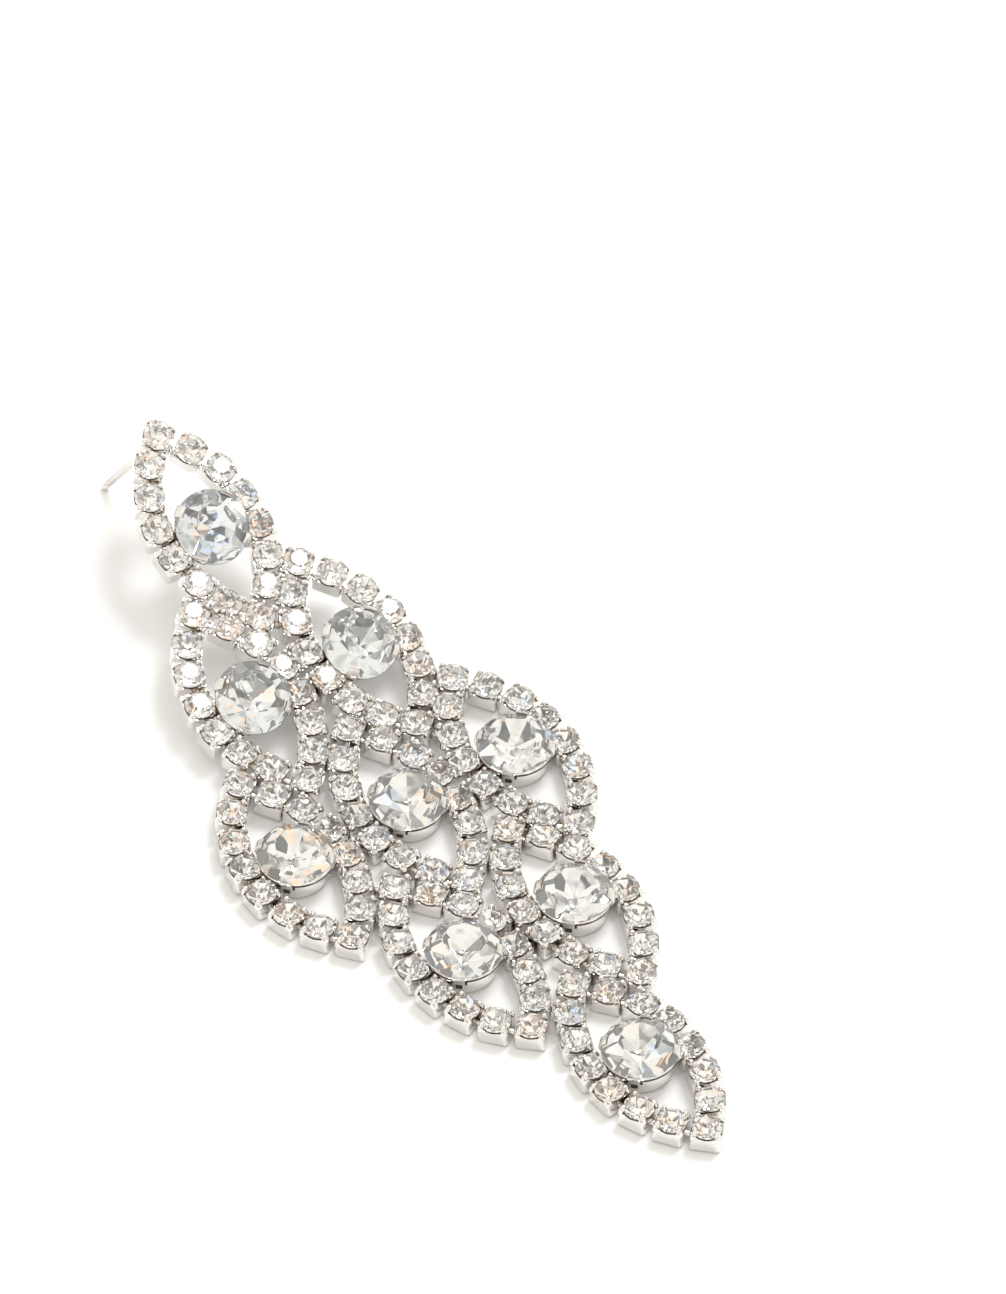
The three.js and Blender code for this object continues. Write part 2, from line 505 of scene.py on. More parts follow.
def surface_wear_group() -> bpy.types.NodeTree:
    """Uneven plating: cloudy tone and gloss, and fine lines of rubbing.

    Returns:
        The group, whose outputs are a tone mask, a roughness and a height.
    """
    group = new_group(
        "surface_wear",
        {
            "Coordinates": SocketKind.VECTOR,
            "Cloud Scale": SocketKind.VALUE,
            "Line Scale": SocketKind.VALUE,
            "Polished Roughness": SocketKind.VALUE,
            "Dull Roughness": SocketKind.VALUE,
        },
        {"Tone": SocketKind.VALUE, "Roughness": SocketKind.VALUE, "Height": SocketKind.VALUE},
    )
    line_stretch = (1.0, 1.0, 9.0)
    cloud_share = 0.7
    cloud_reach = (0.3, 0.7)
    rubbing_reach = (0.35, 0.65)
    bench = NodeBench(group)
    given = group.nodes["Group Input"].outputs
    cloud = bench.noise(given["Coordinates"], given["Cloud Scale"], 3.0)
    stretched = bench.add("ShaderNodeMapping", {"Vector": given["Coordinates"], "Scale": line_stretch})
    lines = bench.noise(stretched.outputs[0], given["Line Scale"], 2.0)
    tone = bench.spread(cloud, cloud_reach, (0.0, 1.0))
    clouds = bench.math("MULTIPLY", cloud, cloud_share)
    rubbing = bench.math("ADD", clouds, bench.math("MULTIPLY", lines, 1 - cloud_share))
    roughness = bench.spread(rubbing, rubbing_reach, (given["Polished Roughness"], given["Dull Roughness"]))
    bench.fill(group.nodes["Group Output"], {"Tone": tone, "Roughness": roughness, "Height": lines})
    return group


def fire_group() -> bpy.types.NodeTree:
    """Flecks of warm and cool fire over a clear tone: painted colour glints that stand for light split into
    colours.

    Returns:
        The group, whose output is a colour.
    """
    group = new_group(
        "fire",
        {
            "Coordinates": SocketKind.VECTOR,
            "Clear": SocketKind.COLOUR,
            "Warm": SocketKind.COLOUR,
            "Cool": SocketKind.COLOUR,
            "Fleck Scale": SocketKind.VALUE,
            "Warm From": SocketKind.VALUE,
            "Cool From": SocketKind.VALUE,
        },
        {"Colour": SocketKind.COLOUR},
    )
    bench = NodeBench(group)
    given = group.nodes["Group Input"].outputs
    cells = bench.add("ShaderNodeTexVoronoi", {"Vector": given["Coordinates"], "Scale": given["Fleck Scale"]})
    chances = bench.add("ShaderNodeSeparateColor", {0: cells.outputs["Color"]}).outputs
    warm = bench.spread(chances[0], (given["Warm From"], 1.0), (0.0, 1.0))
    cool = bench.spread(chances[1], (given["Cool From"], 1.0), (0.0, 1.0))
    colour = bench.mix(cool, bench.mix(warm, given["Clear"], given["Warm"]), given["Cool"])
    bench.fill(group.nodes["Group Output"], {"Colour": colour})
    return group


@dataclass(frozen=True)
class Finish:
    """What every finish shares."""

    name: str

    def started(self) -> tuple[bpy.types.Material, NodeBench, bpy.types.Node, bpy.types.NodeSocket]:
        """Starts the material.

        Returns:
            The material, a bench for its nodes, its shader, and the Object coordinates.
        """
        material = bpy.data.materials.new(self.name)
        material.use_nodes = True
        bench = NodeBench(material.node_tree)
        coordinates = bench.add("ShaderNodeTexCoord", {}).outputs["Object"]
        return material, bench, material.node_tree.nodes["Principled BSDF"], coordinates


@dataclass(frozen=True)
class PlatedMetal(Finish):
    """Bright plating over soldered metal, worn by rubbing and slightly uneven, with painted shade that
    darkens its corners and the gaps between parts.
    """

    name: str = "bright_plating"
    polished: Triple = (0.89, 0.875, 0.85)
    dull: Triple = (0.81, 0.79, 0.755)
    roughness: Pair = (0.05, 0.13)
    cloud_scale: float = 420.0
    line_scale: float = 900.0
    relief: float = 0.06
    line_depth: float = 0.05
    # Painted shade: the brown colour that corners and gaps between parts darken to, how far the occlusion
    # looks, and the occlusion range over which it fades.
    tarnish: Triple = (0.42, 0.355, 0.285)
    tarnish_reach: float = 0.55
    tarnish_openness: Pair = (0.25, 0.8)

    def material(self, wear: bpy.types.NodeTree) -> bpy.types.Material:
        """The finish as a material.

        Args:
            wear: the surface wear group.

        Returns:
            The material.
        """
        material, bench, shader, coordinates = self.started()
        given = {
            "Coordinates": coordinates,
            "Cloud Scale": self.cloud_scale,
            "Line Scale": self.line_scale,
            "Polished Roughness": self.roughness[0],
            "Dull Roughness": self.roughness[1],
        }
        marks = bench.add("ShaderNodeGroup", given, node_tree=wear).outputs
        plating = bench.mix(marks["Tone"], rgba(self.dull), rgba(self.polished))
        # Painted shade: where ambient occlusion finds corners, crevices and gaps between parts, the plating
        # is darkened towards the brown shade colour.
        corners = bench.add("ShaderNodeAmbientOcclusion", {"Distance": self.tarnish_reach * MM}, samples=4)
        unshaded_share = bench.spread(corners.outputs["AO"], self.tarnish_openness, (0.0, 1.0))
        lines = {"Height": marks["Height"], "Strength": self.relief, "Distance": self.line_depth * MM}
        surface = {
            "Metallic": 1.0,
            "Base Color": bench.mix(unshaded_share, rgba(self.tarnish), plating),
            "Roughness": marks["Roughness"],
            "Normal": bench.add("ShaderNodeBump", lines).outputs[0],
        }
        bench.fill(shader, surface)
        return material


@dataclass(frozen=True)
class SilverBacking(Finish):
    """Mirror backing under a cut stone: slightly wavy, with painted flecks of coloured fire and a faint
    painted glow of its own.
    """

    name: str = "silver_backing"
    clear: Triple = (0.84, 0.835, 0.82)
    warm: Triple = (0.97, 0.72, 0.55)
    cool: Triple = (0.66, 0.78, 0.97)
    roughness: float = 0.05
    # Painted light: the backing glows a little, though it is no lamp, which brightens the stones.
    glow: float = 0.085
    fleck_scale: float = 1700.0
    warm_from: float = 0.86
    cool_from: float = 0.94
    wave_height: float = 0.03
    wave_scale: float = 700.0

    def material(self, fire: bpy.types.NodeTree) -> bpy.types.Material:
        """The finish as a material.

        Args:
            fire: the fire group.

        Returns:
            The material.
        """
        material, bench, shader, coordinates = self.started()
        given = {
            "Coordinates": coordinates,
            "Clear": rgba(self.clear),
            "Warm": rgba(self.warm),
            "Cool": rgba(self.cool),
            "Fleck Scale": self.fleck_scale,
            "Warm From": self.warm_from,
            "Cool From": self.cool_from,
        }
        # Painted glints: warm and cool flecks, which stand for light split into colours, tint both the mirror
        # and its glow.
        colour = bench.add("ShaderNodeGroup", given, node_tree=fire).outputs["Colour"]
        waves = {"Height": bench.noise(coordinates, self.wave_scale, 1.0), "Distance": self.wave_height * MM}
        surface = {
            "Metallic": 1.0,
            "Roughness": self.roughness,
            "Normal": bench.add("ShaderNodeBump", waves).outputs[0],
            "Base Color": colour,
            "Emission Color": colour,
            "Emission Strength": self.glow,
        }
        bench.fill(shader, surface)
        return material


@dataclass(frozen=True)
class BackLacquer(Finish):
    """Dull brown lacquer that seals the mirror backing from outside. It has a faint painted glow, and the
    same finish is painted shade on the inside of the claws.
    """

    name: str = "back_lacquer"
    dark: Triple = (0.06, 0.046, 0.035)
    pale: Triple = (0.115, 0.09, 0.07)
    roughness: float = 0.5
    cloud_scale: float = 700.0
    # Painted light: the lacquer glows a little, though it is no lamp, so it does not go black in shade.
    glow: float = 0.3

    def material(self) -> bpy.types.Material:
        """The finish as a material."""
        material, bench, shader, coordinates = self.started()
        cloud = bench.noise(coordinates, self.cloud_scale, 2.0)
        colour = bench.mix(cloud, rgba(self.dark), rgba(self.pale))
        surface = {
            "Roughness": self.roughness,
            "Base Color": colour,
            "Emission Color": colour,
            "Emission Strength": self.glow,
        }
        bench.fill(shader, surface)
        return material


@dataclass(frozen=True)
class CutCrystal(Finish):
    """Clear cut crystal with a faint change of tint, which may turn cooler towards the ear end."""

    name: str = "cut_crystal"
    warm: Triple = (1.0, 0.985, 0.965)
    cool: Triple = (0.965, 0.985, 1.0)
    refraction: float = 1.56
    patch_scale: float = 260.0
    patch_reach: Pair = (0.4, 0.6)
    patch_tint: Pair = (0.0, 0.4)
    cool_reach: Pair = (0.0, 0.035)
    cool_rise: Pair = (0.0, 0.0)

    def material(self) -> bpy.types.Material:
        """The finish as a material."""
        material, bench, shader, coordinates = self.started()
        along = bench.add("ShaderNodeSeparateXYZ", {0: coordinates}).outputs["Y"]
        cloud = bench.noise(coordinates, self.patch_scale, 1.0)
        patches = bench.spread(cloud, self.patch_reach, self.patch_tint)
        cool_share = bench.math("ADD", bench.spread(along, self.cool_reach, self.cool_rise), patches)
        surface = {
            "Transmission Weight": 1.0,
            "Roughness": 0.0,
            "IOR": self.refraction,
            "Base Color": bench.mix(cool_share, rgba(self.warm), rgba(self.cool)),
        }
        bench.fill(shader, surface)
        return material


@dataclass(frozen=True)
class WhiteTable(Finish):
    """Matt white table top, very slightly uneven."""

    name: str = "table_white"
    dark: Triple = (0.86, 0.86, 0.855)
    pale: Triple = (0.88, 0.88, 0.88)
    cloud_scale: float = 40.0
    roughness: float = 0.8
    shine: float = 0.1
    glow: float = 0.04
    glow_colour: Triple = (1.0, 0.99, 0.975)

    def material(self) -> bpy.types.Material:
        """The finish as a material."""
        material, bench, shader, coordinates = self.started()
        cloud = bench.noise(coordinates, self.cloud_scale, 4.0)
        surface = {
            "Base Color": bench.mix(cloud, rgba(self.dark), rgba(self.pale)),
            "Roughness": self.roughness,
            "Specular IOR Level": self.shine,
            "Emission Color": rgba(self.glow_colour),
            "Emission Strength": self.glow,
        }
        bench.fill(shader, surface)
        return material


@dataclass(frozen=True)
class Palette:
    """The materials of the earring."""

    plating: bpy.types.Material
    bent_plating: bpy.types.Material
    solder: bpy.types.Material
    crystal: bpy.types.Material
    small_crystal: bpy.types.Material
    backing: bpy.types.Material
    small_backing: bpy.types.Material
    lacquer: bpy.types.Material

    @classmethod
    def mixed(cls) -> "Palette":
        """Builds every material once."""
        wear = surface_wear_group()
        fire = fire_group()
        bent_plating = PlatedMetal(
            name="bent_plating",
            polished=(0.84, 0.815, 0.78),
            dull=(0.66, 0.63, 0.59),
            roughness=(0.12, 0.3),
            relief=0.12,
        )
        solder = PlatedMetal(
            name="solder",
            polished=(0.80, 0.78, 0.75),
            dull=(0.60, 0.58, 0.54),
            roughness=(0.22, 0.45),
            relief=0.2,
        )
        backing = SilverBacking(
            clear=(0.75, 0.755, 0.745),
            fleck_scale=900.0,
            warm_from=0.93,
            cool_from=0.95,
            roughness=0.03,
            glow=0.13,
            wave_height=0.06,
            wave_scale=400.0,
        )
        crystal = CutCrystal(warm=(1.0, 0.99, 0.96), cool=(0.95, 0.98, 1.0), cool_rise=(-0.3, 1.1))
        return cls(
            plating=PlatedMetal().material(wear),
            bent_plating=bent_plating.material(wear),
            solder=solder.material(wear),
            crystal=crystal.material(),
            small_crystal=CutCrystal(name="small_cut_crystal").material(),
            backing=backing.material(fire),
            small_backing=SilverBacking(name="small_silver_backing").material(fire),
            lacquer=BackLacquer().material(),
        )


# ---------- small cups and stones ----------


@dataclass(frozen=True)
class SquareCup:
    """A small square cup with rounded corners, a dished opening and four prongs that end in beads."""

    side: float = 3.3
    height: float = 2.0
    corner_radius: float = 0.42
    corner_steps: int = 3
    foot_radius: float = 0.12
    wall: float = 0.2
    well_depth: float = 1.2
    rim_dip: float = 0.3
    prong_size: Triple = (0.22, 0.44, 0.62)
    prong_reach: float = 1.88
    prong_height: float = 2.0
    prong_lean: float = math.radians(30)
    bead_radius: float = 0.3
    bead_reach: float = 1.63
    bead_height: float = 2.46
    prong_count: int = 4
    ball_sides: int = 8
    ball_rings: int = 5

    def template(self) -> bpy.types.Mesh:
        """One cup in its own axes, with its back at 0."""
        cup = block((self.side, self.side, self.height), (0, 0, self.height / 2))
        upright = [edge for edge in cup.edges if highest(edge) - lowest(edge) > self.height / 2]
        rounded(cup, upright, self.corner_radius, self.corner_steps)
        foot = [edge for edge in cup.edges if highest(edge) < self.foot_radius / 2]
        rounded(cup, foot, self.foot_radius, 1)
        for normal in ((1, 0, 0), (0, 1, 0)):
            whole = cup.verts[:] + cup.edges[:] + cup.faces[:]
            bmesh.ops.bisect_plane(cup, geom=whole, plane_co=(0, 0, 0), plane_no=normal)
        near_rim = self.height - self.foot_radius / 2
        tops = [face for face in cup.faces if face.calc_center_median().z > near_rim]
        bmesh.ops.inset_region(cup, faces=tops, thickness=self.wall, use_even_offset=True)
        sunk = bmesh.ops.extrude_face_region(cup, geom=tops)["geom"]
        bmesh.ops.delete(cup, geom=tops, context="FACES")
        floor = [item for item in sunk if isinstance(item, bmesh.types.BMVert)]
        bmesh.ops.translate(cup, vec=(0, 0, -self.well_depth), verts=floor)
        for corner in cup.verts:
            if corner.co.z > near_rim and min(abs(corner.co.x), abs(corner.co.y)) < self.wall / 2:
                corner.co.z -= self.rim_dip
        for i in range(self.prong_count):
            self.add_prong(cup, (i + 0.5) * math.tau / self.prong_count)
        return as_template(cup, "square_cup")

    def add_prong(self, cup: bmesh.types.BMesh, angle: float) -> None:
        """Adds one prong and the bead at its end.

        Args:
            cup: the cup's mesh.
            angle: which way from the cup's middle the prong stands, in radians.
        """
        turn = Matrix.Rotation(angle, 4, "Z")
        lean = Matrix.Rotation(-self.prong_lean, 4, "Y")
        size = Matrix.Diagonal((*self.prong_size, 1))
        prong = turn @ Matrix.Translation((self.prong_reach, 0, self.prong_height)) @ lean @ size
        bead = turn @ Matrix.Translation((self.bead_reach, 0, self.bead_height))
        for matrix, radius in ((prong, 1.0), (bead, self.bead_radius)):
            bmesh.ops.create_uvsphere(
                cup,
                u_segments=self.ball_sides,
                v_segments=self.ball_rings,
                radius=radius,
                matrix=matrix,
            )


@dataclass(frozen=True)
class FacetTier:
    """A round of flat facets ground at one slope, in the axes of a stone's cup.

    Each facet passes through a point at the given radius and height. Its slope is the angle of its face from
    level, in degrees: below 90 for the crown, above 90 for the back, which faces down.
    """

    count: int
    radius: float
    height: float
    slope_deg: float
    turn_share: float = 0.0

    def grind(self, stone: bmesh.types.BMesh) -> None:
        """Grinds the tier's facets into a stone.

        Args:
            stone: the stone's mesh, which is convex.
        """
        slope = math.radians(self.slope_deg)
        for i in range(self.count):
            turn = Matrix.Rotation((i + self.turn_share) * math.tau / self.count, 3, "Z")
            normal = turn @ Vector((math.sin(slope), 0, math.cos(slope)))
            point = turn @ Vector((self.radius, 0, self.height))
            whole = stone.verts[:] + stone.edges[:] + stone.faces[:]
            cut = bmesh.ops.bisect_plane(stone, geom=whole, plane_co=point, plane_no=normal, clear_outer=True)
            rim = [item for item in cut["geom_cut"] if isinstance(item, bmesh.types.BMEdge)]
            bmesh.ops.edgeloop_fill(stone, edges=rim)


class StoneFace(IntEnum):
    """The finishes of a stone, by the place of each in its piece."""

    CRYSTAL = 0
    BACKING = 1


class CupFace(IntEnum):
    """The finishes of a cup, by the place of each in its piece."""

    PLATING = 0
    # The dark lacquer, which is also painted shade on the inside of the claws.
    LACQUER = 1
    BENT_PLATING = 2


@dataclass(frozen=True)
class CutStone:
    """A round stone ground from a short rod: a flat table, a crown and a pointed, silvered back."""

    radius: float
    girdle_bottom: float
    table_height: float
    culet_height: float
    sides: int
    crown: tuple[FacetTier, ...]
    back: tuple[FacetTier, ...]
    smallest_edge: float = 0.01
    coat_gap: float = 0.03
    coat_thickness: float = 0.05

    def ground(self) -> bmesh.types.BMesh:
        """One stone with all its facets."""
        stone = rod(self.radius, self.culet_height, self.table_height, self.sides)
        for tier in self.crown + self.back:
            tier.grind(stone)
        bmesh.ops.remove_doubles(stone, verts=stone.verts, dist=self.smallest_edge)
        bmesh.ops.dissolve_degenerate(stone, dist=self.smallest_edge, edges=stone.edges)
        for face in stone.faces:
            behind = face.calc_center_median().z < self.girdle_bottom
            face.material_index = StoneFace.BACKING if behind else StoneFace.CRYSTAL
        return stone

    def template(self) -> bpy.types.Mesh:
        """One stone in the axes of its cup."""
        return as_template(self.ground(), "cut_stone")

    def lacquer_template(self) -> bpy.types.Mesh:
        """The coat of lacquer just below the stone's back."""
        coat = self.ground()
        bmesh.ops.recalc_face_normals(coat, faces=coat.faces)
        crown = [face for face in coat.faces if face.material_index == StoneFace.CRYSTAL]
        bmesh.ops.delete(coat, geom=crown, context="FACES")
        bmesh.ops.translate(coat, vec=(0, 0, -self.coat_gap), verts=coat.verts)
        bmesh.ops.solidify(coat, geom=coat.faces[:], thickness=-self.coat_thickness)
        for face in coat.faces:
            face.material_index = CupFace.LACQUER
        return as_template(coat, "back_lacquer")


SMALL_STONE = CutStone(
    radius=1.64,
    girdle_bottom=2.05,
    table_height=2.86,
    culet_height=0.6,
    sides=16,
    crown=(FacetTier(8, 1.64, 2.14, 42), FacetTier(8, 1.05, 2.86, 24, 0.5)),
    back=(FacetTier(8, 0.0, 0.6, 180 - 41), FacetTier(8, 1.64, 2.02, 180 - 48, 0.5)),
)

SHALLOW_STONE = CutStone(
    radius=4.08,
    girdle_bottom=3.1,
    table_height=4.85,
    culet_height=0.9,
    sides=64,
    crown=(FacetTier(8, 4.08, 3.26, 39), FacetTier(8, 2.55, 4.85, 24, 0.5)),
    back=(FacetTier(8, 0.0, 0.9, 180 - 28), FacetTier(16, 4.08, 3.08, 180 - 44, 0.5)),
)

DEEP_STONE = replace(
    SHALLOW_STONE,
    culet_height=0.35,
    back=(FacetTier(8, 0.0, 0.35, 180 - 33.8), FacetTier(16, 4.08, 3.08, 180 - 40, 0.5)),
)


@dataclass(frozen=True)
class ChainLink:
    """The short bar that joins two cups of the chain."""

    width: float = 0.75
    height: float = 0.5
    middle_height: float = 0.72
    overlap: float = 0.25
    rounding: float = 0.2

    def template(self, gap: float) -> bpy.types.Mesh:
        """One link along X.

        Args:
            gap: width of the gap that it bridges.

        Returns:
            The link in its own axes, with the cups' backs at 0.
        """
        link = block((gap + 2 * self.overlap, self.width, self.height), (0, 0, self.middle_height))
        long_edges = [edge for edge in link.edges if abs(edge.verts[0].co.x - edge.verts[1].co.x) > gap / 2]
        rounded(link, long_edges, self.rounding, 2)
        return as_template(link, "chain_link")


# ---------- large cups ----------


@dataclass(frozen=True)
class RoundSetting:
    """A large round cup of sheet metal: a rounded foot, a flared wall and four claws between slots."""

    steps: int = 96
    foot_height: float = 0.1
    foot_radius: float = 3.2
    knee: Pair = (3.47, 0.22)
    base_radius: float = 3.56
    base_height: float = 0.45
    rim_radius: float = 3.97
    rim_height: float = 2.58
    slot_height: float = 2.1
    slot_bulge: float = 0.05
    slot_steps: int = 1
    window_foot: float = 1.2
    window_steps: int = 3
    sheet: float = 0.24
    claw_count: int = 4
    claw_steps: int = 5
    claw_path: tuple[Pair, ...] = ((4.24, 3.02), (4.36, 3.24), (4.3, 3.5), (4.0, 3.86), (3.56, 4.16))
    margin: float = 0.01

    def profile(self) -> list[Pair]:
        """The wall's outline from the middle of the foot to the rim, as radius and height."""
        slot_share = (self.slot_height - self.base_height) / (self.rim_height - self.base_height)
        slot_radius = self.base_radius + (self.rim_radius - self.base_radius) * slot_share + self.slot_bulge
        window_share = (self.window_foot - self.base_height) / (self.slot_height - self.base_height)
        window_radius = self.base_radius + (slot_radius - self.base_radius) * window_share
        return [
            (0.0, self.foot_height),
            (self.foot_radius, self.foot_height),
            self.knee,
            (self.base_radius, self.base_height),
            (window_radius, self.window_foot),
            (slot_radius, self.slot_height),
            (self.rim_radius, self.rim_height),
        ]

    def template(self) -> bpy.types.Mesh:
        """One setting in its own axes, with its back at 0."""
        setting = turned(self.profile(), self.steps, math.pi / self.steps)
        bmesh.ops.recalc_face_normals(setting, faces=setting.faces)
        beside = self.claw_steps / 2
        self.cut(setting, (self.slot_height, self.rim_height), (beside, beside + self.slot_steps))
        self.cut(setting, (self.window_foot, self.slot_height), (0, self.window_steps / 2))
        self.raise_claws(setting)
        return as_template(setting, "round_setting")

    def claw_distance(self, item: bmesh.types.BMFace | bmesh.types.BMEdge) -> float:
        """How far the middle of a face or edge is from the nearest claw's middle, in steps."""
        middle = sum((corner.co for corner in item.verts), Vector()) / len(item.verts)
        from_claw = Matrix.Rotation(-math.pi / self.claw_count, 3, "Z") @ middle
        per_claw = self.steps / self.claw_count
        position = math.atan2(from_claw.y, from_claw.x) / math.tau * self.steps
        return abs((position + per_claw / 2) % per_claw - per_claw / 2)

    def cut(self, setting: bmesh.types.BMesh, heights: Pair, reach: Pair) -> None:
        """Cuts the same openings in the wall at every claw.

        Args:
            setting: the wall's mesh.
            heights: where an opening starts and ends.
            reach: its nearest and farthest distance from the claw's middle, in steps.
        """
        openings = [
            face
            for face in setting.faces
            if lowest(face) > heights[0] - self.margin
            and highest(face) < heights[1] + self.margin
            and reach[0] <= self.claw_distance(face) < reach[1]
        ]
        bmesh.ops.delete(setting, geom=openings, context="FACES")

    def raise_claws(self, setting: bmesh.types.BMesh) -> None:
        """Draws the claws up from the rim and over the stone, and gives the sheet its thickness.

        Args:
            setting: the wall's mesh.
        """
        ends = [
            edge
            for edge in setting.edges
            if lowest(edge) > self.rim_height - self.margin and self.claw_distance(edge) < self.claw_steps / 2
        ]
        for radius, height in self.claw_path:
            raised = bmesh.ops.extrude_edge_only(setting, edges=ends)["geom"]
            for corner in (item for item in raised if isinstance(item, bmesh.types.BMVert)):
                flat = Vector((corner.co.x, corner.co.y)).normalized() * radius
                corner.co = (flat.x, flat.y, height)
            ends = [item for item in raised if isinstance(item, bmesh.types.BMEdge)]
        bmesh.ops.recalc_face_normals(setting, faces=setting.faces)
        bmesh.ops.solidify(setting, geom=setting.faces[:], thickness=self.sheet)
        setting.normal_update()
        for face in setting.faces:
            middle = face.calc_center_median()
            inside = face.normal.dot(Vector((middle.x, middle.y, -middle.z / 2))) < 0
            # Painted shade: above the rim, the inside of each claw takes the dark lacquer, which stands for
            # the shade between claw and stone; the outside takes the bent plating.
            if middle.z > self.rim_height:
                face.material_index = CupFace.LACQUER if inside else CupFace.BENT_PLATING


# ---------- solder ----------


@dataclass(frozen=True)
class Solder:
    """Solder where leaves touch, and between each large cup and the links beside it."""

    reach: float = 4.1
    bead_size: Triple = (0.62, 0.42, 0.5)
    bead_height: float = 0.75
    tab_width: float = 0.34
    tab_height: float = 0.7
    tab_middle: float = 0.85
    tab_overlap: float = 0.1
    tab_rounding: float = 0.1

    def joints(self, loop: LeafLoop) -> list[Spot]:
        """Middles of all pairs of cups in different leaves that come close.

        Args:
            loop: the line of the cups.

        Returns:
            One spot for each pair, turned to run from one cup to the other.
        """
        spots = []
        for i, leaf in enumerate(LEAVES):
            for other in LEAVES[i + 1 :]:
                for a in loop.spots(leaf):
                    for b in loop.spots(other):
                        if a.distance_to(b) < self.reach:
                            spots.append(a.midway_to(b))
        return spots

    def bead(self) -> bpy.types.Mesh:
        """One bead of solder, with the cups' backs at 0."""
        bead = bmesh.new()
        matrix = Matrix.Translation((0, 0, self.bead_height)) @ Matrix.Diagonal((*self.bead_size, 1))
        bmesh.ops.create_icosphere(bead, subdivisions=2, radius=1.0, matrix=matrix)
        return as_template(bead, "solder_bead")

    def tab(self, start: float, end: float) -> bpy.types.Mesh:
        """The solder on one side of a large cup.

        Args:
            start: distance of its inner end from the cup's middle.
            end: distance of its outer end.

        Returns:
            The tab, along X.
        """
        tab = block((end - start, self.tab_width, self.tab_height), ((start + end) / 2, 0, self.tab_middle))
        rounded(tab, tab.edges[:], self.tab_rounding, 2)
        return as_template(tab, "solder_tab")

    def build(self, loop: LeafLoop, bend: Bend, setting: RoundSetting, palette: Palette) -> None:
        """Builds all solder as one piece.

        Args:
            loop: the line of the cups.
            bend: the lattice's curve.
            setting: the large cups.
            palette: the finishes.
        """
        piece = Piece("solder_joints", METAL_SLOT, (LATTICE_NODE,), (palette.solder,))
        bead = self.bead()
        for spot in self.joints(loop):
            stamp(piece.shape, bead, bend.place(spot))
        tab = self.tab(setting.base_radius - self.tab_overlap, loop.half_width)
        for leaf in LEAVES:
            for side in (0.0, math.pi):
                stamp(piece.shape, tab, bend.place(Spot(leaf.across, leaf.along, leaf.spot.turn + side)))
        piece.finish()


# ---------- ear post ----------


@dataclass(frozen=True)
class EarPost:
    """The straight post with a grooved, rounded tip, its pad and the solder round its foot.

    The tip is drawn as radius and distance from the free end, the foot as radius and distance from the pad.
    """

    radius: float = 0.4
    tip: tuple[Pair, ...] = ((0.22, 0.0), (0.328, 0.09), (0.4, 0.3))
    foot: tuple[Pair, ...] = ((0.4, 1.0), (0.46, 0.45), (0.68, 0.12), (0.92, 0.0))
    groove_start: float = 0.9
    groove_length: float = 0.5
    groove_slope: float = 0.15
    groove_radius: float = 0.3
    sides: int = 24
    pad_radius: float = 1.3
    pad_thickness: float = 0.4
    pad_sides: int = 32
    pad_rounding: float = 0.1
    seat_gap: float = 0.3

    def shaft(self, length: float) -> bpy.types.Mesh:
        """The shaft along +Z from its tip at 0.

        Args:
            length: its length, in millimetres.

        Returns:
            The shaft.
        """
        groove_end = self.groove_start + self.groove_length
        outline = [
            (0.0, 0.0),
            *self.tip,
            (self.radius, self.groove_start),
            (self.groove_radius, self.groove_start + self.groove_slope),
            (self.groove_radius, groove_end - self.groove_slope),
            (self.radius, groove_end),
            *((radius, length - distance) for radius, distance in self.foot),
            (0.0, length),
        ]
        return as_template(turned(outline, self.sides), "post_shaft")

    def pad(self) -> bpy.types.Mesh:
        """The pad between the shaft and the back of its cup, which is at 0."""
        thickness = self.seat_gap + self.pad_thickness
        pad = rod(self.pad_radius, -thickness, 0.0, self.pad_sides)
        rims = [edge for edge in pad.edges if highest(edge) - lowest(edge) < thickness / 2]
        rounded(pad, rims, self.pad_rounding, 2)
        return as_template(pad, "post_pad")

    def build(self, bend: Bend, seat: Spot, palette: Palette) -> None:
        """Builds the post between the top cup and its free tip.

        Args:
            bend: the lattice's curve.
            seat: the top cup.
            palette: the finishes.
        """
        mount = next(m for m in frame["record"]["mounts"] if m["name"] == "post_end")
        tip = Vector(mount["pos_m"]) / MM
        upwards = -Vector(mount["axis"]).normalized()
        place = bend.place(seat)
        pad_middle = place @ Vector((0, 0, -self.seat_gap - self.pad_thickness / 2)) / MM
        length = (pad_middle - tip).dot(upwards)
        lean = upwards.to_track_quat("Z", "Y").to_matrix().to_4x4()
        piece = Piece("post", METAL_SLOT, (POST_NODE,), (palette.bent_plating,))
        stamp(piece.shape, self.shaft(length), Matrix.Scale(MM, 4) @ Matrix.Translation(tip) @ lean)
        stamp(piece.shape, self.pad(), place)
        piece.finish()


# ---------- assembly ----------


